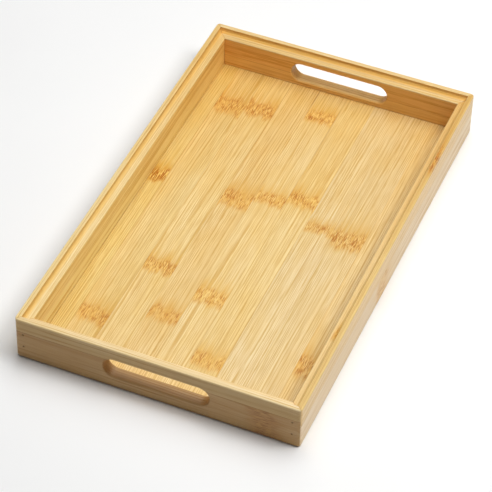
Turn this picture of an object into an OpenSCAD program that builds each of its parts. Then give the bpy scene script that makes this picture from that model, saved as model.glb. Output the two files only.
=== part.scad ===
// Bamboo serving tray: four mitred rails, each glued up from two strips,
// with a raised lip over a lower inner ledge and a cove between them, a rounded hand slot in each
// end rail, and a base panel of glued strips held in a groove.
// Origin: centre of the footprint, on the surface the tray stands on.
// +X to the right, +Y from the front end to the back end, +Z up.

/* [Tray] */
// Overall length, outer face to outer face
tray_l = 350; // [260:5:480]
// Overall width, outer face to outer face
tray_w = 210; // [170:5:320]
// Height of the rails, and of the whole tray
rail_h = 36.5; // [34:0.5:60]
// Thickness of the rails
rail_t = 10; // [9.5:0.5:14]

/* [Rim] */
// Thickness of the raised outer lip
lip_t = 3.9; // [3:0.1:4.2]
// Height of the lip above the inner ledge
lip_h = 4.8; // [4.7:0.1:5.5]
// Radius of the hollow cove that runs from the lip down into the ledge
cove_r = 3.6; // [1:0.1:3.8]

/* [Edges] */
// Round-over on the lip's outer top edge
outer_top_r = 0.7; // [0.5:0.1:1.5]
// Round-over on the lip's inner top edge
lip_inner_r = 0.4; // [0.2:0.1:0.8]
// Round-over on the ledge's inner edge
ledge_r = 0.9; // [0.3:0.1:1.2]
// Round-over on the outer bottom edge
outer_bottom_r = 2.2; // [0.5:0.1:2.2]
// Round-over on the inner bottom edge
inner_bottom_r = 0.5; // [0.2:0.1:0.8]
// Radius of the four upright outer corners
corner_r = 2.7; // [2.4:0.1:3.5]

/* [Handle slots] */
// Clear length of each hand slot, between its round ends
slot_l = 78; // [60:1:110]
// Clear height of each hand slot
slot_h = 16; // [14:0.5:16]
// Round-over round both mouths of a slot
slot_edge_r = 1.4; // [0.5:0.1:1.6]

/* [Base panel] */
// Thickness of the base panel
base_t = 4; // [3:0.5:4.5]
// Gap under the base panel, down to the surface the tray stands on
base_gap = 2.2; // [1.6:0.1:2.4]
// Depth of the groove that holds the panel
groove_d = 4.5; // [3:0.1:5]
// Gap left between the panel's edge and the bottom of the groove
groove_gap = 0.4; // [0.2:0.1:0.8]
// Width of the first strip, as a share of the others
first_strip = 0.73; // [0.4:0.01:1]

/* [Rail glue lines] */
// Height of the glue line in the front end rail
front_line = 25.2; // [25.1:0.1:28]
// Height of the glue line in the back end rail
back_line = 16; // [14:0.5:19]
// Height of the glue line in the left rail
left_line = 20; // [14:0.5:20.5]
// Height of the glue line in the right rail
right_line = 21.8; // [14:0.1:21.9]

/* [Corner brads] */
// Diameter of a brad's shank
brad_d = 1.2; // [1:0.1:1.4]
// Length of a brad
brad_l = 22; // [16:1:30]
// Diameter of a brad's head
brad_head_d = 1.6; // [1.5:0.1:2.2]
// Distance from the tray's side to a brad's axis
brad_in = 6.2; // [5:0.1:7]
// Height of the lower brads
brad_z1 = 11.6; // [9:0.1:12]
// Height of the upper brads
brad_z2 = 23; // [22.9:0.1:23.4]
// Depth that a head is set below the face
brad_set = 0.3; // [0.2:0.1:0.6]

/* [Hidden] */
$fn = 64;
strips = 9;
half_l = tray_l / 2;
half_w = tray_w / 2;
ledge_z = rail_h - lip_h;
slot_z = rail_h / 2;
panel_w = tray_w - 2 * (rail_t - groove_d + groove_gap);
panel_l = tray_l - 2 * (rail_t - groove_d + groove_gap);
strip_w = panel_w / (strips - 1 + first_strip);
head_t = 0.8;
tip_l = 2;
clear = 0.02;
bamboo = [0.86, 0.70, 0.42];
bamboo_dark = [0.78, 0.60, 0.34];
steel = [0.42, 0.38, 0.33];

// ---------- shared shapes ----------

// What a round-over takes off a corner at the origin, the solid being on +x +y.
module off_corner(r) {
    difference() {
        translate([-1, -1]) square([r + 1, r + 1]);
        translate([r, r]) circle(r);
    }
}

// Section of a rail: x runs in from the outer face, y is height.
module rail_section() {
    difference() {
        square([rail_t, rail_h]);
        // step down from the lip to the ledge
        translate([lip_t, ledge_z]) difference() {
            square([rail_t, lip_h + 1]);
            difference() {
                square([cove_r, cove_r]);
                translate([cove_r, cove_r]) circle(cove_r);
            }
        }
        // groove for the base panel
        translate([rail_t - groove_d, base_gap]) square([groove_d + 1, base_t]);
        // round-overs
        off_corner(outer_bottom_r);
        translate([rail_t, 0]) mirror([1, 0]) off_corner(inner_bottom_r);
        translate([0, rail_h]) mirror([0, 1]) off_corner(outer_top_r);
        translate([lip_t, rail_h]) mirror([1, 0]) mirror([0, 1]) off_corner(lip_inner_r);
        translate([rail_t, ledge_z]) mirror([1, 0]) mirror([0, 1]) off_corner(ledge_r);
    }
}

// Footprint of the whole tray, with its rounded corners.
module footprint() {
    difference() {
        square([tray_w, tray_l], center = true);
        for (sx = [0, 1], sy = [0, 1])
            mirror([sx, 0]) mirror([0, sy])
                translate([-half_w, -half_l]) off_corner(corner_r);
    }
}

// Footprint of the rail on the -X side, mitred at both ends.
module side_plan() {
    intersection() {
        footprint();
        polygon([
            [-half_w - 1, -half_l - 1], [-half_w - 1, half_l + 1],
            [-half_w + rail_t, half_l - rail_t], [-half_w + rail_t, -half_l + rail_t]
        ]);
    }
}

// Footprint of the rail at the -Y end, mitred at both ends.
module end_plan() {
    intersection() {
        footprint();
        polygon([
            [-half_w - 1, -half_l - 1], [half_w + 1, -half_l - 1],
            [half_w - rail_t, -half_l + rail_t], [-half_w + rail_t, -half_l + rail_t]
        ]);
    }
}

// Rail on the -X side, from height z0 to height z1.
module side_rail(z0, z1) {
    intersection() {
        translate([-half_w, half_l + 1, 0]) rotate([90, 0, 0])
            linear_extrude(tray_l + 2) rail_section();
        translate([0, 0, z0]) linear_extrude(z1 - z0) side_plan();
    }
}

// Rail at the -Y end, from height z0 to height z1, with its hand slot.
module end_rail(z0, z1) {
    difference() {
        intersection() {
            translate([-half_w - 1, -half_l, 0]) rotate([90, 0, 90])
                linear_extrude(tray_w + 2) rail_section();
            translate([0, 0, z0]) linear_extrude(z1 - z0) end_plan();
        }
        translate([0, -half_l, slot_z]) slot_cutter();
    }
}

// Half section of the slot: x is the distance from its axis, y the depth from the outer face.
module slot_half_section() {
    translate([0, -1]) square([slot_h / 2, rail_t + 2]);
    for (side = [0, 1])
        translate([0, side * rail_t]) mirror([0, side]) difference() {
            translate([0, -1]) square([slot_h / 2 + slot_edge_r, slot_edge_r + 1]);
            translate([slot_h / 2 + slot_edge_r, slot_edge_r]) circle(slot_edge_r);
        }
}

// What a slot takes out of an end rail whose outer face is at y = 0.
module slot_cutter() {
    reach = (slot_l - slot_h) / 2;
    rotate([-90, 0, 0]) {
        for (side = [0, 1])
            mirror([side, 0, 0]) translate([reach, 0, 0]) rotate([0, 0, -90])
                rotate_extrude(angle = 180) slot_half_section();
        translate([-reach, 0, 0]) rotate([90, 0, 90]) linear_extrude(2 * reach) {
            slot_half_section();
            mirror([1, 0]) slot_half_section();
        }
    }
}

// One brad, its head at the origin and its shank running along +Y.
module brad(extra = 0) {
    rotate([-90, 0, 0]) {
        cylinder(r = brad_head_d / 2 + extra, h = head_t + extra);
        cylinder(r = brad_d / 2 + extra, h = brad_l - tip_l + extra);
        translate([0, 0, brad_l - tip_l + extra])
            cylinder(r1 = brad_d / 2 + extra, r2 = 0.2 + extra, h = tip_l);
    }
}

// Hole for one brad: it fits round the brad and opens through the face.
module brad_hole() {
    brad(clear);
    translate([0, 0.1, 0]) rotate([90, 0, 0])
        cylinder(r = brad_head_d / 2 + clear, h = brad_set + 1.1);
}

// Places its children at the eight brads, head at each end face.
module at_brads() {
    for (sx = [0, 1], sy = [0, 1], z = [brad_z1, brad_z2])
        mirror([sx, 0, 0]) mirror([0, sy, 0])
            translate([-half_w + brad_in, -half_l + brad_set, z]) children();
}

// Takes the brad holes out of its children.
module drilled() {
    difference() {
        children();
        at_brads() brad_hole();
    }
}

// One strip of the base panel, running the tray's length.
module base_strip(n) {
    x0 = -panel_w / 2 + (n == 1 ? 0 : strip_w * (n - 2 + first_strip));
    x1 = -panel_w / 2 + strip_w * (n - 1 + first_strip);
    translate([x0, -panel_l / 2, base_gap]) cube([x1 - x0, panel_l, base_t]);
}

// ---------- sub-parts ----------

module base_strip_1() { color(bamboo) base_strip(1); }
module base_strip_2() { color(bamboo) base_strip(2); }
module base_strip_3() { color(bamboo) base_strip(3); }
module base_strip_4() { color(bamboo) base_strip(4); }
module base_strip_5() { color(bamboo) base_strip(5); }
module base_strip_6() { color(bamboo) base_strip(6); }
module base_strip_7() { color(bamboo) base_strip(7); }
module base_strip_8() { color(bamboo) base_strip(8); }
module base_strip_9() { color(bamboo) base_strip(9); }

module left_rail_lower() { color(bamboo_dark) drilled() side_rail(0, left_line); }
module left_rail_upper() { color(bamboo) drilled() side_rail(left_line, rail_h); }

module right_rail_lower() {
    color(bamboo_dark) drilled() mirror([1, 0, 0]) side_rail(0, right_line);
}
module right_rail_upper() {
    color(bamboo) drilled() mirror([1, 0, 0]) side_rail(right_line, rail_h);
}

module front_rail_lower() { color(bamboo_dark) drilled() end_rail(0, front_line); }
module front_rail_upper() { color(bamboo) drilled() end_rail(front_line, rail_h); }

module back_rail_lower() {
    color(bamboo_dark) drilled() mirror([0, 1, 0]) end_rail(0, back_line);
}
module back_rail_upper() {
    color(bamboo) drilled() mirror([0, 1, 0]) end_rail(back_line, rail_h);
}

// Eight finish brads, two through each end of each end rail into the side rails.
module corner_brads() { color(steel) at_brads() brad(); }

base_strip_1();
base_strip_2();
base_strip_3();
base_strip_4();
base_strip_5();
base_strip_6();
base_strip_7();
base_strip_8();
base_strip_9();
left_rail_lower();
left_rail_upper();
right_rail_lower();
right_rail_upper();
front_rail_lower();
front_rail_upper();
back_rail_lower();
back_rail_upper();
corner_brads();
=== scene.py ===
import math

import bpy
import bmesh
from mathutils import Matrix, Vector


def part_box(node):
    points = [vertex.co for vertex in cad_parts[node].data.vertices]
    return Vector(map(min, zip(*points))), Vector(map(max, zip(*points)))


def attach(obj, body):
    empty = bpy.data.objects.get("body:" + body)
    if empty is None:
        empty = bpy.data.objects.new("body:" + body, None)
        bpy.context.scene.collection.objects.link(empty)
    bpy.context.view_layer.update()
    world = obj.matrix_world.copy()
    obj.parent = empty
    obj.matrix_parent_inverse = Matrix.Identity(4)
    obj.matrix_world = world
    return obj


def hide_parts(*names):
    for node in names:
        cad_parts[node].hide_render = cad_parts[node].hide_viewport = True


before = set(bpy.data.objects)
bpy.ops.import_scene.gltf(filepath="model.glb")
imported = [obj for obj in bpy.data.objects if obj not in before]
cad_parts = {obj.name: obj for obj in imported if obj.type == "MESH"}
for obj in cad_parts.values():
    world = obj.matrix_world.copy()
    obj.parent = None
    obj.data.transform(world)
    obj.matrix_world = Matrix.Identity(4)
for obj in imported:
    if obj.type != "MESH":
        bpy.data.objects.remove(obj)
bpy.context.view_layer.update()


MM = 0.001
scene = bpy.context.scene

# The tray's sizes in millimetres, as in the CAD.
HALF_W, HALF_L = 105.0, 175.0
RAIL_T, RAIL_H = 10.0, 36.5
LIP_T, LEDGE_Z, COVE_R = 3.9, 31.7, 3.6
OUTER_TOP_R, LIP_INNER_R, LEDGE_R = 0.7, 0.4, 0.9
OUTER_BOTTOM_R, INNER_BOTTOM_R, CORNER_R = 2.2, 0.5, 2.7
GROOVE_D, FLOOR_LOW, FLOOR_TOP = 4.5, 2.2, 6.2
GLUE_Z = {"left": 20.0, "right": 21.8, "front": 25.2, "back": 16.0}
SLOT_REACH, SLOT_R, SLOT_EDGE, SLOT_Z = 31.0, 8.0, 1.4, 18.25
BRAD_X, BRAD_Z, BRAD_SET = HALF_W - 6.2, (11.6, 23.0), 0.3
EASE = 0.11                      # how far a cut edge is eased at a joint


# ---------------------------------------------------------------- camera

def add_camera():
    data = bpy.data.cameras.new("camera")
    data.sensor_width = 36.0
    data.lens = 173.505
    data.clip_start = 0.05
    data.clip_end = 20.0
    cam = bpy.data.objects.new("camera", data)
    right = Vector((0.92180883, 0.38712384, 0.02009001))
    down = Vector((0.28233859, -0.63497961, -0.71908679))
    ahead = Vector((-0.26561889, 0.66853274, -0.69462982))
    turn = Matrix((right, -down, -ahead)).transposed().to_4x4()
    cam.matrix_world = Matrix.Translation((0.4523044, -1.1560769, 1.1897694)) @ turn
    scene.collection.objects.link(cam)
    scene.camera = cam


# ---------------------------------------------------------------- shader graphs

class Graph:
    """Short calls for writing a material's nodes. Lengths in the patterns are in millimetres."""

    def __init__(self, mat):
        self.tree = mat.node_tree
        self.shader = self.tree.nodes["Principled BSDF"]
        self.object = self.add("ShaderNodeTexCoord").outputs["Object"]

    def add(self, kind, **props):
        n = self.tree.nodes.new(kind)
        for k, v in props.items():
            setattr(n, k, v)
        return n

    def plug(self, socket, value):
        if isinstance(value, bpy.types.NodeSocket):
            self.tree.links.new(value, socket)
        elif isinstance(value, (tuple, list)) and socket.type == "RGBA":
            socket.default_value = (*value[:3], 1.0)
        else:
            socket.default_value = value

    def math(self, op, a, b=None, c=None, clamp=False):
        n = self.add("ShaderNodeMath", operation=op, use_clamp=clamp)
        for i, v in enumerate((a, b, c)):
            if v is not None:
                self.plug(n.inputs[i], v)
        return n.outputs[0]

    def times(self, *terms):
        total = terms[0]
        for t in terms[1:]:
            total = self.math("MULTIPLY", total, t)
        return total

    def sum(self, *terms):
        """Sum of (socket, factor) pairs, sockets and plain numbers."""
        total = None
        for t in terms:
            if isinstance(t, tuple):
                t = self.math("MULTIPLY", t[0], t[1])
            total = t if total is None else self.math("ADD", total, t)
        return total

    def scaled(self, factors):
        n = self.add("ShaderNodeVectorMath", operation="MULTIPLY")
        self.plug(n.inputs[0], self.object)
        n.inputs[1].default_value = factors
        return n.outputs[0]

    def vector(self, x, y, z):
        n = self.add("ShaderNodeCombineXYZ")
        for i, v in enumerate((x, y, z)):
            self.plug(n.inputs[i], v)
        return n.outputs[0]

    def split(self, vec):
        n = self.add("ShaderNodeSeparateXYZ")
        self.plug(n.inputs[0], vec)
        return n.outputs[0], n.outputs[1], n.outputs[2]

    def noise(self, vec, detail=2.0, rough=0.5):
        n = self.add("ShaderNodeTexNoise", noise_dimensions="3D")
        self.plug(n.inputs["Vector"], vec)
        n.inputs["Scale"].default_value = 1.0
        n.inputs["Detail"].default_value = detail
        n.inputs["Roughness"].default_value = rough
        return n.outputs["Fac"]

    def step(self, value, a, b, low=0.0, high=1.0, smooth=True):
        """low where value is a, high where it is b, and a smooth change between."""
        n = self.add("ShaderNodeMapRange", clamp=True,
                     interpolation_type="SMOOTHSTEP" if smooth else "LINEAR")
        self.plug(n.inputs["Value"], value)
        for name, v in (("From Min", a), ("From Max", b), ("To Min", low), ("To Max", high)):
            self.plug(n.inputs[name], v)
        return n.outputs["Result"]

    def mix(self, fac, a, b, kind="MIX"):
        n = self.add("ShaderNodeMix", data_type="RGBA", blend_type=kind, clamp_factor=True)
        self.plug(n.inputs["Factor"], fac)
        self.plug(n.inputs[6], a)
        self.plug(n.inputs[7], b)
        return n.outputs[2]

    def colours(self, fac, stops):
        n = self.add("ShaderNodeValToRGB")
        ramp = n.color_ramp
        while len(ramp.elements) < len(stops):
            ramp.elements.new(0.5)
        for e, (place, colour) in zip(ramp.elements, stops):
            e.position = place
            e.color = (*colour, 1.0)
        self.plug(n.inputs[0], fac)
        return n.outputs[0]

    def to_shader(self, name, value):
        self.plug(self.shader.inputs[name], value)


def srgb(r, g, b):
    """A colour given as 0 to 255 screen values, in linear light."""
    return tuple(c / 255 / 12.92 if c <= 10 else ((c / 255 + 0.055) / 1.055) ** 2.4 for c in (r, g, b))


def tint(colour, *by):
    return tuple(min(1.0, c * k) for c, k in zip(colour, by))


# ---------------------------------------------------------------- studio

def softbox(name, place, target, size, power):
    light = bpy.data.lights.new(name, "AREA")
    light.shape = "RECTANGLE"
    light.size, light.size_y = size
    light.energy = power
    obj = bpy.data.objects.new(name, light)
    obj.location = place
    obj.rotation_euler = (Vector(target) - Vector(place)).to_track_quat("-Z", "Y").to_euler()
    scene.collection.objects.link(obj)


def add_studio():
    scene.view_settings.view_transform = "Standard"
    scene.view_settings.look = "None"
    scene.view_settings.exposure = 0.0
    world = bpy.data.worlds.new("studio")
    world.use_nodes = True
    scene.world = world
    back = world.node_tree.nodes["Background"]
    back.inputs["Color"].default_value = (1.0, 1.0, 1.0, 1.0)
    back.inputs["Strength"].default_value = 0.09
    softbox("key", (0.75, 0.05, 1.25), (0.0, 0.0, 0.0), (0.40, 0.40), 6.2)
    softbox("top", (0.22, 0.22, 1.45), (0.0, 0.0, 0.0), (1.3, 1.3), 19.2)
    softbox("sheen", (-0.42, 1.05, 1.25), (0.0, 0.0, 0.0), (0.7, 0.7), 2.5)

    # a plain white paper floor
    bm = bmesh.new()
    bmesh.ops.create_grid(bm, x_segments=8, y_segments=8, size=4.0)
    floor = new_object("floor", bm)
    mat = bpy.data.materials.new("floor_paper")
    mat.use_nodes = True
    g = Graph(mat)
    n = g.noise(g.scaled((9.0, 9.0, 9.0)), detail=3.0)
    g.to_shader("Base Color", g.mix(n, (0.91, 0.91, 0.905), (0.94, 0.94, 0.935)))
    g.to_shader("Roughness", g.step(n, 0.3, 0.7, 0.86, 0.94))
    floor.data.materials.append(mat)


# ---------------------------------------------------------------- bamboo

def bamboo(name, grain, seed, tone, knots=(), centre=0.0, width=22.7, contrast=1.0, marks=None, only=None,
           golden=1.0, burn=0.0):
    """Bamboo with its fibres along one axis. tone is its middle colour; centre and width place the strip across
    the grain. knots are (place along the grain, half length, strength, bow) in mm. marks adds joint lines, wear, and
    painted light and shade, only limits the knuckles to part of the piece, golden is how yellow their stain is, and
    burn how dark."""
    mat = bpy.data.materials.new(name)
    mat.use_nodes = True
    g = Graph(mat)
    x, y, z = g.split(g.scaled((1000.0, 1000.0, 1000.0)))
    u, v = (y, x) if grain == "y" else (x, y)
    s = seed * 41.7 + 3.1

    # the fibres wander a little from straight
    bend = g.noise(g.vector(g.sum((u, 1 / 150.0), s), g.sum((v, 1 / 40.0), s), g.times(z, 1 / 40.0)), 0.0)
    vw = g.sum(v, (g.math("SUBTRACT", bend, 0.5), 1.6))

    def field(lu, lv, detail=2.0, rough=0.5, turn=0.0, shift=0.0):
        uu = g.sum((u, 1.0 / lu), s + shift)
        if turn:
            uu = g.sum(uu, (vw, turn / lu))
        return g.noise(g.vector(uu, g.sum((vw, 1.0 / lv), s * 1.7 + shift * 2.0), g.times(z, 1.0 / lv)), detail, rough)

    streak = field(75.0, 0.62, 1.0, 0.5, shift=7.0)
    breaks = field(15.0, 0.58, 1.0, 0.5, shift=11.0)
    strand = field(190.0, 2.3, 1.0, 0.5)
    broad = field(260.0, 5.5, 1.0, 0.5, shift=3.0)
    fibre = field(60.0, 0.42, 1.0, 0.5, shift=13.0)
    bundle = field(420.0, 1.25, 0.0, 0.5, shift=17.0)
    gleam = field(420.0, 1.15, 0.0, 0.5, shift=19.0)
    cloud = g.noise(g.vector(g.sum((u, 1 / 42.0), s), g.sum((v, 1 / 15.0), s), g.times(z, 1 / 15.0)), 2.0)

    # the bundles lie side by side at a nearly even pitch, so the wood looks combed
    drift = field(500.0, 6.5, 0.5, 0.5, shift=41.0)
    comb = g.math("SINE", g.sum((vw, math.tau / 1.95), (drift, 24.0), (breaks, 2.0)))
    comb = g.sum(0.45, (g.step(comb, 0.25, 1.0), -1.45))
    comb = g.times(comb, g.step(field(45.0, 3.2, 1.0, 0.5, shift=43.0), 0.34, 0.60, 0.35, 1.0))
    # and some patches are much plainer than others
    plain = g.step(field(75.0, 12.0, 1.0, 0.5, shift=47.0), 0.36, 0.62, 0.60, 1.35)

    # three scales of change: fine bundles alter mostly the depth, wide ones mostly how yellow the wood is
    k = contrast
    t = g.sum((streak, 0.9 * k), (breaks, 1.7 * k), (fibre, 1.2 * k), (comb, 0.74 * k), -1.90 * k)
    t = g.sum(g.times(t, plain), 0.5)
    colour = g.colours(t, [(0.0, tint(tone, 0.85, 0.74, 0.50)), (0.5, tone), (1.0, tint(tone, 1.12, 1.20, 1.38))])
    t = g.sum((strand, 0.08 * k), (broad, 0.36 * k), 0.5 - 0.22 * k)
    colour = g.mix(1.0, colour, g.mix(t, (0.93, 0.89, 0.76), (1.06, 1.11, 1.26)), "MULTIPLY")
    t = g.sum((cloud, 1.6 * k), (broad, 0.25 * k), 0.5 - 0.925 * k)
    colour = g.mix(1.0, colour, g.mix(t, (0.985, 0.93, 0.78), (1.01, 1.05, 1.22)), "MULTIPLY")
    # single fibre bundles: long thin dark lines, and thin pale ones between
    some = g.times(g.step(breaks, 0.36, 0.56, 0.35, 1.0), plain)
    line = g.times(g.step(g.math("ABSOLUTE", g.sum(bundle, -0.5)), 0.045, 0.012), some, k)
    pale = g.times(g.step(g.math("ABSOLUTE", g.sum(gleam, -0.5)), 0.045, 0.012), some, k)
    colour = g.mix(g.times(line, 0.45), colour, tint(tone, 0.74, 0.58, 0.36))
    colour = g.mix(g.times(pale, 0.35), colour, tint(tone, 1.12, 1.25, 1.55))
    height = g.sum((streak, 0.5), (fibre, 1.0), (comb, 0.15), (line, -0.35))
    rough = g.sum((fibre, 0.14), (cloud, 0.14), (line, 0.05), 0.27)

    if knots:
        def stained(r, gr, b):
            return tint(tone, r, gr + (r - gr) * 0.45 * (1 - golden), b + (r - b) * 0.65 * (1 - golden))

        dash = field(6.2, 0.62, 1.0, 0.5, turn=0.38, shift=21.0)
        fleck = field(5.0, 0.60, 1.0, 0.5, turn=-0.2, shift=25.0)
        clump = field(8.0, 5.0, 1.0, 0.5, shift=27.0)
        teeth = field(40.0, 1.3, 1.0, 0.5, shift=29.0)
        jag = field(900.0, 1.1, 1.0, 0.6, shift=35.0)
        sway = field(900.0, 8.0, 0.0, 0.5, shift=39.0)
        across = g.math("DIVIDE", g.sum(v, -centre), width / 2)
        bow = g.times(across, across)
        band = tail = halo = None
        for place, half, power, arch in knots:
            off = g.sum(u, -place, (bow, arch), (g.sum(jag, -0.5), 9.0), (g.sum(sway, -0.5), half * 1.6))
            d = g.math("ABSOLUTE", off)
            b = g.times(g.step(d, half * 1.60, half * 0.40), power)
            # the stain runs further up the stem than down it
            up = g.math("MAXIMUM", g.times(off, 0.5), g.times(off, -0.9))
            h = g.times(g.step(up, half * 1.7, half * 0.3), power)
            far = g.times(g.step(up, 24.0, half * 0.5), power)
            band = b if band is None else g.math("MAXIMUM", band, b)
            halo = h if halo is None else g.math("MAXIMUM", halo, h)
            tail = far if tail is None else g.math("MAXIMUM", tail, far)
        if only:
            shown = only(g, x, y, z)
            band, halo, tail = g.times(band, shown), g.times(halo, shown), g.times(tail, shown)
        toothed = g.step(teeth, 0.40, 0.60)
        # thin brown streaks run out of the band along the fibres
        smear = g.times(g.math("SUBTRACT", halo, g.times(band, 0.6)), g.step(g.sum(streak, (teeth, 0.5)), 0.68, 0.86))
        colour = g.mix(g.times(tail, toothed, 0.40), colour, stained(0.95, 0.86, 0.56))
        colour = g.mix(g.times(halo, g.sum((toothed, 0.45), 0.38)), colour, stained(0.96, 0.82, 0.45))
        colour = g.mix(g.times(smear, 0.55), colour, stained(0.84, 0.60, 0.24))
        colour = g.mix(g.times(band, g.step(clump, 0.35, 0.60, 0.50, 0.80)), colour, stained(0.94, 0.72, 0.32))
        thick = g.sum(dash, (clump, 0.45), burn)
        colour = g.mix(g.times(band, g.step(thick, 0.64, 0.74), 0.45), colour, stained(0.82, 0.51, 0.14))
        colour = g.mix(g.times(band, g.step(thick, 0.73, 0.82), 0.86), colour, stained(0.58, 0.27, 0.04))
        colour = g.mix(g.times(band, g.step(fleck, 0.53, 0.61), 0.85), colour, tint(tone, 1.14, 1.12, 0.90))
        height = g.sum(height, (g.times(band, dash), 0.8))
        rough = g.sum(rough, (band, 0.07))

    peel = g.noise(g.scaled((260.0, 260.0, 260.0)), 1.0)
    height = g.sum(height, (peel, 0.7))
    if marks:
        colour, rough, height = marks(g, u, v, z, colour, rough, height, streak, tone)

    g.to_shader("Base Color", colour)
    g.to_shader("Roughness", rough)
    bump = g.add("ShaderNodeBump")
    bump.inputs["Strength"].default_value = 0.35
    bump.inputs["Distance"].default_value = 0.00012
    g.plug(bump.inputs["Height"], height)
    g.to_shader("Normal", bump.outputs["Normal"])
    g.shader.inputs["IOR"].default_value = 1.5
    g.shader.inputs["Specular IOR Level"].default_value = 0.35
    g.shader.inputs["Coat Weight"].default_value = 0.06
    g.shader.inputs["Coat Roughness"].default_value = 0.20
    return mat


def rail_marks(along, across, glue, faces, under_lip_shade_much=0.30):
    """Joint lines, a dark line of painted shade at the top of the cove, rubbed edges with a painted highlight, painted
    highlights on the vertical corners, painted shade towards the back of the side rails and slot end grain, for a rail
    whose outer face is `across` mm out, with its mitres `along` mm out, and its glue line at height glue.
    faces tints single faces with painted light and shade and with the wood's tone, and the last argument is how dark
    the painted shade under the lip is."""
    end_rail = across > along

    def marks(g, u, v, z, colour, rough, height, streak, tone):
        d = g.sum((g.math("ABSOLUTE", v), -1.0), across)
        e = g.sum((g.math("ABSOLUTE", u), -1.0), along)
        breaks = g.step(streak, 0.30, 0.62, 0.55, 1.0)
        masks = {
            "outer": lambda: g.times(g.step(d, 1.3, 0.4), g.step(z, RAIL_H - 0.3, RAIL_H - 1.2)),
            "inner": lambda: g.times(g.step(d, RAIL_T - 1.2, RAIL_T - 0.2), g.step(z, LEDGE_Z - 0.3, LEDGE_Z - 1.5)),
            "cove": lambda: g.times(g.step(d, LIP_T - 0.6, LIP_T + 0.3), g.step(d, RAIL_T - 1.6, RAIL_T - 3.0),
                                    g.step(z, LEDGE_Z + 0.1, LEDGE_Z + 0.9)),
            "lip": lambda: g.step(z, RAIL_H - 0.9, RAIL_H - 0.2),
            "ledge": lambda: g.times(g.step(d, LIP_T + 1.0, LIP_T + 3.2), g.step(z, LEDGE_Z - 0.9, LEDGE_Z - 0.1)),
        }
        # painted shade: away from its outer face a side rail turns darker and more golden towards the back, standing in
        # for shade over the far end
        if not end_rail:
            far_shade_faces = g.math("MAXIMUM", g.step(d, 0.4, 1.3), g.step(z, RAIL_H - 1.2, RAIL_H - 0.3))
            colour = g.mix(g.times(g.step(u, -60.0, 160.0), far_shade_faces), colour,
                           g.mix(1.0, colour, (0.90, 0.78, 0.58), "MULTIPLY"))
        # painted light and shade: faces tints single faces, darkening shaded ones and lightening or paling others, with
        # some of the wood's tone
        for face, by in faces.items():
            colour = g.mix(masks[face](), colour, g.mix(1.0, colour, by, "MULTIPLY"))

        def near(dd, zz, reach, soft):
            a, b = g.sum(d, -dd), g.sum(z, -zz)
            r = g.math("SQRT", g.sum(g.times(a, a), g.times(b, b)))
            return g.step(r, reach + soft, reach)

        # painted shade: a dark line at the top of the cove just under the lip's inner edge, where shade falls
        lip_shade_line = g.times(near(LIP_T + 0.05, RAIL_H - 1.3, 0.55, 0.9), breaks)
        line = g.times(g.step(g.math("ABSOLUTE", g.sum(z, -glue)), 0.34, 0.10), breaks)
        mitre = g.times(g.step(g.math("ABSOLUTE", g.sum(d, (e, -1.0))), 0.50, 0.14), breaks)
        seat = g.times(near(RAIL_T, FLOOR_TOP, 0.20, 0.55), breaks)
        stain = tint(tone, 0.58, 0.36, 0.13)
        for mask, much in ((lip_shade_line, under_lip_shade_much), (line, 0.42), (mitre, 0.55), (seat, 0.55)):
            colour = g.mix(g.times(mask, much), colour, tint(tone, 0.80, 0.54, 0.20) if mask is lip_shade_line else stain)
            height = g.sum(height, (mask, -1.2))
        # painted highlight: the vertical outer corners are paler
        corner = g.times(g.step(d, 1.6, 0.5), g.step(e, 1.6, 0.5))
        colour = g.mix(g.times(corner, 0.30), colour, tint(tone, 1.12, 1.24, 1.45))
        # rubbed finish and painted highlight: the ledge's inner edge and both top edges of the lip are paler and
        # smoother, partly wear and partly a painted highlight where the edges catch the light
        rubbed_and_highlight = g.math("MAXIMUM", near(RAIL_T - 0.3, LEDGE_Z - 0.3, 0.35, 0.7),
                      g.math("MAXIMUM", near(LIP_T - 0.15, RAIL_H - 0.15, 0.3, 0.45),
                             near(0.5, RAIL_H - 0.5, 0.5, 0.8)))
        colour = g.mix(g.times(rubbed_and_highlight, 0.32), colour, tint(tone, 1.12, 1.22, 1.36))
        rough = g.sum(rough, (rubbed_and_highlight, -0.06), (lip_shade_line, 0.15), (line, 0.10))
        if end_rail:
            # round ends of the slot: the fibres are cut across, so they take more finish and look darker
            px = g.math("MAXIMUM", g.sum(g.math("ABSOLUTE", u), -SLOT_REACH), 0.0)
            pz = g.sum(z, -SLOT_Z)
            r = g.math("SQRT", g.sum(g.times(px, px), g.times(pz, pz)))
            inside = g.times(g.step(r, SLOT_R + 0.9, SLOT_R + 0.2), g.step(px, 1.0, 5.0))
            pores = g.noise(g.scaled((900.0, 2600.0, 2600.0)), 1.0)
            colour = g.mix(g.times(inside, g.step(pores, 0.35, 0.65, 0.25, 0.75)), colour, tint(tone, 0.70, 0.52, 0.34))
            rough = g.sum(rough, (inside, 0.10))
        return colour, rough, height

    return marks


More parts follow.
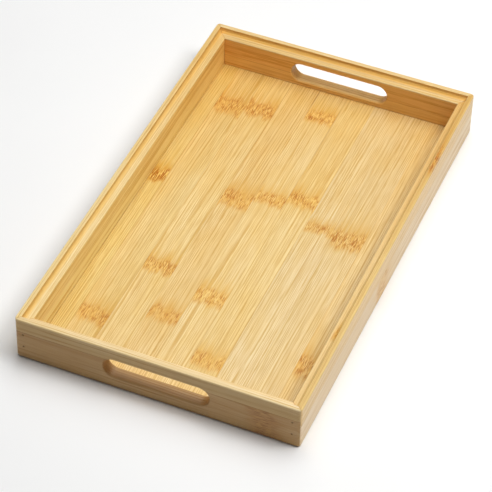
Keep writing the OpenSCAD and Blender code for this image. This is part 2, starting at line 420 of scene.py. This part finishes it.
def strip_marks(low, high, opened):
    """Lines where a base strip meets the next one, stronger along the stretches in opened, each a joint's place
    across the grain, where it runs from and to and how dark it is, and dirt where the strip runs under the rails."""
    def marks(g, u, v, z, colour, rough, height, streak, tone):
        # painted shade: the strips turn darker and more golden towards the back, standing in for shade over the far end
        colour = g.mix(g.step(u, -30.0, 165.0), colour, g.mix(1.0, colour, (0.96, 0.88, 0.72), "MULTIPLY"))
        patch = g.noise(g.vector(g.sum((u, 1 / 55.0), low), g.times(v, 0.02), 0.0), 1.0)
        breaks = g.times(g.step(streak, 0.35, 0.60, 0.4, 1.0), g.step(patch, 0.38, 0.58, 0.35, 1.0))
        side = g.math("MINIMUM", g.sum(v, -low), g.sum((v, -1.0), high))
        line = g.times(g.step(side, 0.34, 0.08), breaks)
        for place, start, end, much in opened:
            reach = g.times(g.step(u, start - 8.0, start + 4.0), g.step(u, end + 4.0, end - 4.0))
            dark = g.times(reach, g.step(g.math("ABSOLUTE", g.sum(v, -place)), 0.55, 0.18))
            colour = g.mix(g.times(dark, much), colour, tint(tone, 0.48, 0.28, 0.11))
        edge = g.math("MINIMUM", g.sum((g.math("ABSOLUTE", v), -1.0), HALF_W - RAIL_T),
                      g.sum((g.math("ABSOLUTE", u), -1.0), HALF_L - RAIL_T))
        dirt = g.times(g.step(edge, 1.1, 0.15), breaks)
        stain = tint(tone, 0.55, 0.38, 0.22)
        colour = g.mix(g.times(line, 0.45), colour, stain)
        colour = g.mix(g.times(dirt, 0.45), colour, stain)
        rough = g.sum(rough, (dirt, 0.12))
        height = g.sum(height, (line, -0.8))
        return colour, rough, height
    return marks


def steel():
    mat = bpy.data.materials.new("brad_steel")
    mat.use_nodes = True
    g = Graph(mat)
    n = g.noise(g.scaled((2600.0, 2600.0, 2600.0)), 3.0)
    g.to_shader("Base Color", g.colours(n, [(0.3, (0.20, 0.11, 0.045)), (0.5, (0.32, 0.19, 0.085)), (0.75, (0.44, 0.29, 0.15))]))
    g.to_shader("Roughness", g.step(n, 0.3, 0.7, 0.36, 0.62))
    bump = g.add("ShaderNodeBump")
    bump.inputs["Strength"].default_value = 0.4
    bump.inputs["Distance"].default_value = 0.00004
    g.plug(bump.inputs["Height"], n)
    g.to_shader("Normal", bump.outputs["Normal"])
    g.shader.inputs["Metallic"].default_value = 0.35
    return mat


# ---------------------------------------------------------------- mesh tools

def arc(cx, cz, r, a0, a1, n):
    """n + 1 points of an arc, angles in degrees."""
    out = []
    for i in range(n + 1):
        a = math.radians(a0 + (a1 - a0) * i / n)
        out.append((cx + r * math.cos(a), cz + r * math.sin(a)))
    return out


def shrink(loop, by):
    """The closed loop moved inwards by a small amount. It runs anticlockwise."""
    out = []
    for i, (px, pz) in enumerate(loop):
        ax, az = loop[i - 1]
        bx, bz = loop[(i + 1) % len(loop)]
        e1, e2 = Vector((px - ax, pz - az)).normalized(), Vector((bx - px, bz - pz)).normalized()
        n1, n2 = Vector((-e1.y, e1.x)), Vector((-e2.y, e2.x))
        n = (n1 + n2)
        n = n / max(0.5, n.length_squared / 2)
        out.append((px + n.x * by, pz + n.y * by))
    return out


def lower_section(glue):
    e = EASE
    return (arc(RAIL_T - INNER_BOTTOM_R, INNER_BOTTOM_R, INNER_BOTTOM_R, -90, 0, 6)
            + [(RAIL_T, FLOOR_LOW - e), (RAIL_T - e, FLOOR_LOW), (RAIL_T - GROOVE_D, FLOOR_LOW),
               (RAIL_T - GROOVE_D, FLOOR_TOP), (RAIL_T - e, FLOOR_TOP), (RAIL_T, FLOOR_TOP + e),
               (RAIL_T, glue - e), (RAIL_T - e, glue), (e, glue), (0.0, glue - e)]
            + arc(OUTER_BOTTOM_R, OUTER_BOTTOM_R, OUTER_BOTTOM_R, 180, 270, 10))


def upper_section(glue):
    e = EASE
    return ([(e, glue), (RAIL_T - e, glue), (RAIL_T, glue + e)]
            + arc(RAIL_T - LEDGE_R, LEDGE_Z - LEDGE_R, LEDGE_R, 0, 90, 8)
            + arc(LIP_T + COVE_R, LEDGE_Z + COVE_R, COVE_R, 270, 180, 16)
            + arc(LIP_T - LIP_INNER_R, RAIL_H - LIP_INNER_R, LIP_INNER_R, 0, 90, 6)
            + arc(OUTER_TOP_R, RAIL_H - OUTER_TOP_R, OUTER_TOP_R, 90, 180, 10)
            + [(0.0, glue + e)])


def rail_mesh(section, along, across, place):
    """A mitred rail. Its section is swept round half of each corner. place turns (along, outward, height) into a point."""
    steps = 9
    end = EASE * math.sqrt(2)
    rings = []
    for side in (1, -1):
        cap, body = [], [[] for _ in range(steps + 1)]
        for (d, z), (ds, zs) in zip(section, shrink(section, EASE)):
            rs = CORNER_R - ds
            if rs > 0:
                cap.append((along - CORNER_R + rs * math.sqrt(0.5), across - CORNER_R + rs * math.sqrt(0.5), zs))
            else:
                cap.append((along - ds, across - ds, zs))
            r = CORNER_R - d
            if r > end:
                start = math.degrees(math.acos(-end / (math.sqrt(2) * r))) - 45.0
                for k in range(steps + 1):
                    a = math.radians(start + (90.0 - start) * k / steps)
                    body[k].append((along - CORNER_R + r * math.cos(a), across - CORNER_R + r * math.sin(a), z))
            else:
                for k in range(steps + 1):
                    body[k].append((along - d - end, across - d, z))
        rows = [cap] + body
        rings.append([[(side * a, b, h) for a, b, h in row] for row in rows])
    middle = []
    for k in range(1, 12):
        f = 1 - 2 * k / 12
        middle.append([(a * f, b, h) for a, b, h in rings[0][-1]])
    rows = rings[0] + middle + rings[1][::-1]
    bm = bmesh.new()
    grid = [[bm.verts.new(place(*p)) for p in row] for row in rows]
    n = len(section)
    for r0, r1 in zip(grid, grid[1:]):
        for i in range(n):
            j = (i + 1) % n
            bm.faces.new((r0[i], r0[j], r1[j], r1[i]))
    bm.faces.new(grid[0])
    bm.faces.new(grid[-1][::-1])
    bmesh.ops.remove_doubles(bm, verts=bm.verts, dist=1e-7)
    bmesh.ops.dissolve_degenerate(bm, edges=bm.edges, dist=1e-7)
    bmesh.ops.recalc_face_normals(bm, faces=bm.faces)
    return bm


def new_object(name, bm):
    mesh = bpy.data.meshes.new(name)
    bm.to_mesh(mesh)
    bm.free()
    obj = bpy.data.objects.new(name, mesh)
    scene.collection.objects.link(obj)
    return obj


def slot_cutter(end):
    """What a hand slot takes out of the end rail at y = end * HALF_L: a rounded slot with a rolled edge at each mouth."""
    n = 10
    prof = [(-1.0, SLOT_EDGE)]
    for k in range(n + 1):
        a = math.radians(90.0 * k / n)
        prof.append((SLOT_EDGE * (1 - math.cos(a)), SLOT_EDGE * (1 - math.sin(a))))
    prof += [(RAIL_T - t, e) for t, e in prof[::-1]]
    bm = bmesh.new()
    rows = []
    for t, e in prof:
        r = SLOT_R + e
        loop = []
        for sx, a0 in ((1, -90.0), (-1, 90.0)):
            for k in range(25):
                a = math.radians(a0 + 180.0 * k / 24)
                loop.append((sx * SLOT_REACH + r * math.cos(a), SLOT_Z + r * math.sin(a)))
        rows.append([bm.verts.new((px * MM, end * (HALF_L - t) * MM, pz * MM)) for px, pz in loop])
    for r0, r1 in zip(rows, rows[1:]):
        for i in range(len(r0)):
            j = (i + 1) % len(r0)
            bm.faces.new((r0[i], r0[j], r1[j], r1[i]))
    bm.faces.new(rows[0])
    bm.faces.new(rows[-1][::-1])
    bmesh.ops.recalc_face_normals(bm, faces=bm.faces)
    return bm


def turned(profile, sides=32):
    """A closed solid of revolution about +Y from (distance along, radius) pairs, in mm."""
    bm = bmesh.new()
    rings = []
    for t, r in profile:
        if r <= 0:
            rings.append([bm.verts.new((0.0, t * MM, 0.0))])
        else:
            rings.append([bm.verts.new((r * MM * math.cos(math.tau * k / sides), t * MM, r * MM * math.sin(math.tau * k / sides)))
                          for k in range(sides)])
    for a, b in zip(rings, rings[1:]):
        for k in range(sides):
            m = (k + 1) % sides
            if len(a) == 1:
                bm.faces.new((a[0], b[m], b[k]))
            elif len(b) == 1:
                bm.faces.new((a[k], a[m], b[0]))
            else:
                bm.faces.new((a[k], a[m], b[m], b[k]))
    bmesh.ops.recalc_face_normals(bm, faces=bm.faces)
    return bm


def at_brads(bm):
    """Eight copies of bm, which is a brad at the origin running along +Y, in their places."""
    out = bmesh.new()
    base = bpy.data.meshes.new("brad_copy")
    bm.to_mesh(base)
    bm.free()
    for sx in (-1, 1):
        for sy in (-1, 1):
            for z in BRAD_Z:
                first = len(out.verts)
                out.from_mesh(base)
                out.verts.ensure_lookup_table()
                turn = Matrix.Rotation(math.pi if sy > 0 else 0.0, 4, "Z")
                move = Matrix.Translation((sx * BRAD_X * MM, sy * (HALF_L - BRAD_SET) * MM, z * MM))
                bmesh.ops.transform(out, matrix=move @ turn, verts=out.verts[first:])
    bpy.data.meshes.remove(base)
    return out


def cut(obj, tool):
    m = obj.modifiers.new("cut", "BOOLEAN")
    m.operation = "DIFFERENCE"
    m.solver = "EXACT"
    m.object = tool
    bpy.context.view_layer.update()
    got = bpy.data.meshes.new_from_object(obj.evaluated_get(bpy.context.evaluated_depsgraph_get()))
    obj.modifiers.clear()
    old = obj.data
    obj.data = got
    got.name = obj.name
    bpy.data.meshes.remove(old)


def finish_piece(obj, node, mat, angle=30.0):
    mesh = obj.data
    mesh.materials.clear()
    mesh.materials.append(mat)
    for p in mesh.polygons:
        p.use_smooth = True
    mesh.set_sharp_from_angle(angle=math.radians(angle))
    m = obj.modifiers.new("even_normals", "WEIGHTED_NORMAL")
    m.mode = "FACE_AREA"
    m.weight = 50
    m.keep_sharp = True
    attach(obj, "root")
    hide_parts(node)


# ---------------------------------------------------------------- pieces

# The wood's middle colour for each piece. front_lower is set much darker than its wood as painted shade on its outer
# face, which faces away from the lamps, and left_lower lighter as painted light on its inner face.
TONE = {
    "base_1": (0.708, 0.500, 0.162), "base_2": (0.738, 0.514, 0.181), "base_3": (0.784, 0.550, 0.207),
    "base_4": (0.772, 0.525, 0.192), "base_5": (0.802, 0.572, 0.230), "base_6": (0.785, 0.551, 0.206),
    "base_7": (0.762, 0.556, 0.249), "base_8": (0.737, 0.535, 0.235), "base_9": (0.773, 0.548, 0.224),
    "left_lower": (0.890, 0.626, 0.205), "left_upper": (0.848, 0.616, 0.255),
    "right_lower": (0.741, 0.529, 0.273), "right_upper": (0.752, 0.520, 0.206),
    "front_lower": (0.489, 0.288, 0.106), "front_upper": (0.82, 0.60, 0.290),
    "back_lower": (0.870, 0.557, 0.188), "back_upper": (0.770, 0.541, 0.231),
}

STRIP_KNOTS = {
    1: [(27.6, 5.8, 1.4, 1.0)],
    2: [(122.5, 8.0, 0.95, 2.0), (-121.0, 6.5, 0.8, 1.5)],
    3: [(126.0, 7.0, 0.95, -1.0), (-59.5, 5.8, 0.95, 1.0)],
    4: [(26.0, 7.5, 0.95, 2.5), (-104.0, 6.0, 0.8, 1.5)],
    5: [(136.0, 5.5, 0.95, 1.5), (36.2, 5.5, 0.95, 2.0), (-75.0, 6.8, 0.95, 2.0)],
    6: [(45.9, 6.2, 0.95, 3.0), (-131.0, 6.0, 0.8, 1.5)],
    7: [(22.2, 4.5, 0.85, 2.0)],
    8: [(20.2, 8.0, 1.0, 6.0)],
    9: [(-108.0, 8.8, 0.95, 3.0)],
}

# strips whose knuckles are darker than the others
BURN = {1: 0.09, 3: 0.03, 8: 0.03}

# Tints for single faces of a rail, on top of its tone: the front rail's darker outer face is painted shade; the lighter
# inner face of the left rail, the lighter, more orange inner faces of the back rail and the lighter coves of the right
# and back rails are painted light; the right rail's paler, bluer outer faces are a painted sheen; the left rail's cove
# is more golden, its lower outer face a little darker, and the lip and ledge tints set the wood's tone.
RAIL_FACE_TINTS_AND_LIGHT = {
    "left_upper": {"inner": (1.13, 1.12, 0.99), "cove": (1.0, 0.90, 0.68), "ledge": (0.93, 0.96, 1.04), "lip": (0.95, 0.95, 0.97)},
    "left_lower": {"inner": (1.12, 1.22, 1.46), "outer": (0.96, 0.92, 1.05)},
    "right_upper": {"lip": (0.94, 0.89, 0.70), "cove": (1.22, 1.20, 1.10), "outer": (1.06, 1.06, 1.19)},
    "right_lower": {"outer": (1.09, 1.15, 1.31)},
    "front_upper": {"outer": (0.66, 0.58, 0.46), "lip": (0.97, 0.98, 0.99), "ledge": (0.98, 0.99, 1.0)},
    "back_upper": {"inner": (1.20, 0.98, 0.70), "ledge": (0.92, 0.90, 0.82), "cove": (1.30, 1.10, 0.66)},
    "back_lower": {"inner": (1.05, 0.97, 0.86)},
}

# the right rail's knuckles only break the surface on the lip towards the back, and on the ledge towards the front
KNOT_FACES = {
    "right_upper": lambda g, x, y, z: g.math(
        "MAXIMUM", g.times(g.step(y, 10.0, 30.0), g.step(z, RAIL_H - 1.2, RAIL_H - 0.4)),
        g.times(g.step(y, 0.0, -20.0), g.step(x, 96.4, 97.6), g.step(x, 103.4, 102.2),
                g.step(z, LEDGE_Z + 3.2, LEDGE_Z + 2.0))),
}

RAIL_KNOTS = {
    "right_upper": [(102.0, 13.5, 1.15, 0.0), (-96.0, 5.0, 0.85, 0.0)],
    "front_lower": [(77.9, 8.5, 0.75, 0.0)],
    "right_lower": [(-20.0, 9.0, 0.55, 0.0)],
}


# joints between base strips that show as a dark line: place across, where it starts and ends along, and how dark
OPEN_JOINTS = [(-14.42, 146.0, 165.0, 0.65), (8.29, 92.0, 150.0, 0.35)]


def build_strips():
    for n in range(1, 10):
        node = "base_strip_%d" % n
        lo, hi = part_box(node)
        x0, x1, y1 = lo.x / MM, hi.x / MM, hi.y / MM
        z0, z1 = lo.z / MM, hi.z / MM
        # board section, its four long edges eased, drawn out along y with eased ends
        e = 0.07
        loop = []
        for cx, cz, a0 in ((x1 - e, z0 + e, -90), (x1 - e, z1 - e, 0), (x0 + e, z1 - e, 90), (x0 + e, z0 + e, 180)):
            loop += arc(cx, cz, e, a0, a0 + 90, 3)
        small = shrink(loop, e * 0.6)
        rows = [(small, -y1), (loop, -y1 + e)]
        rows += [(loop, (-y1 + e) + 2 * (y1 - e) * k / 34) for k in range(1, 34)]
        rows += [(loop, y1 - e), (small, y1)]
        bm = bmesh.new()
        grid = [[bm.verts.new((px * MM, py * MM, pz * MM)) for px, pz in lp] for lp, py in rows]
        for r0, r1 in zip(grid, grid[1:]):
            for i in range(len(r0)):
                j = (i + 1) % len(r0)
                bm.faces.new((r0[i], r0[j], r1[j], r1[i]))
        bm.faces.new(grid[0])
        bm.faces.new(grid[-1][::-1])
        bmesh.ops.recalc_face_normals(bm, faces=bm.faces)
        obj = new_object("strip_%d" % n, bm)
        mat = bamboo("bamboo_base_%d" % n, "y", n, TONE["base_%d" % n], STRIP_KNOTS[n],
                     centre=(x0 + x1) / 2, width=x1 - x0, burn=BURN.get(n, 0.0),
                     marks=strip_marks(x0, x1, [j for j in OPEN_JOINTS if x0 - 0.5 < j[0] < x1 + 0.5]))
        finish_piece(obj, node, mat)


def build_rails():
    hole = turned([(-BRAD_SET - 1.0, 0.0), (-BRAD_SET - 1.0, 0.82), (0.82, 0.82), (0.82, 0.62), (20.02, 0.62),
                   (22.02, 0.22), (22.02, 0.0)])
    holes = new_object("brad_holes", at_brads(hole))
    spots = {
        "left": ("y", HALF_L, HALF_W, lambda a, b, h: (-b * MM, a * MM, h * MM)),
        "right": ("y", HALF_L, HALF_W, lambda a, b, h: (b * MM, a * MM, h * MM)),
        "front": ("x", HALF_W, HALF_L, lambda a, b, h: (a * MM, -b * MM, h * MM)),
        "back": ("x", HALF_W, HALF_L, lambda a, b, h: (a * MM, b * MM, h * MM)),
    }
    for i, (side, (grain, along, across, place)) in enumerate(spots.items()):
        glue = GLUE_Z[side]
        slot = None
        if grain == "x":
            slot = new_object("slot_tool", slot_cutter(-1 if side == "front" else 1))
        for j, level in enumerate(("lower", "upper")):
            key = "%s_%s" % (side, level)
            section = lower_section(glue) if level == "lower" else upper_section(glue)
            obj = new_object("%s_rail_%s.body" % (side, level), rail_mesh(section, along, across, place))
            if slot:
                cut(obj, slot)
            cut(obj, holes)
            mat = bamboo("bamboo_" + key, grain, 20 + 3 * i + j, TONE[key], RAIL_KNOTS.get(key, ()),
                         centre=0.0, width=1.0e4, contrast=0.45 if side == "right" else 0.62, marks=rail_marks(along, across, glue, RAIL_FACE_TINTS_AND_LIGHT.get(key, {}), 0.12 if side == "right" else 0.30),
                         only=KNOT_FACES.get(key), golden=0.15 if key == "front_lower" else 1.0)
            finish_piece(obj, "%s_rail_%s" % (side, level), mat)
        if slot:
            bpy.data.objects.remove(slot)
    bpy.data.objects.remove(holes)


def build_brads():
    # a headed pin: a crowned head with the set's dimple, a ringed shank and a point
    prof = [(0.08, 0.0), (0.07, 0.12), (0.02, 0.24), (0.0, 0.34), (0.01, 0.52), (0.05, 0.68), (0.12, 0.77), (0.22, 0.80),
            (0.62, 0.80), (0.74, 0.74), (0.80, 0.60)]
    t = 2.0
    while t < 17.5:
        prof += [(t, 0.60), (t + 0.12, 0.56), (t + 0.45, 0.56), (t + 0.57, 0.60)]
        t += 1.6
    prof += [(20.0, 0.60), (20.5, 0.52), (21.5, 0.28), (22.0, 0.10), (22.0, 0.0)]
    obj = new_object("brads", at_brads(turned(prof)))
    finish_piece(obj, "corner_brads", steel(), angle=40.0)


add_camera()
add_studio()
build_strips()
build_rails()
build_brads()
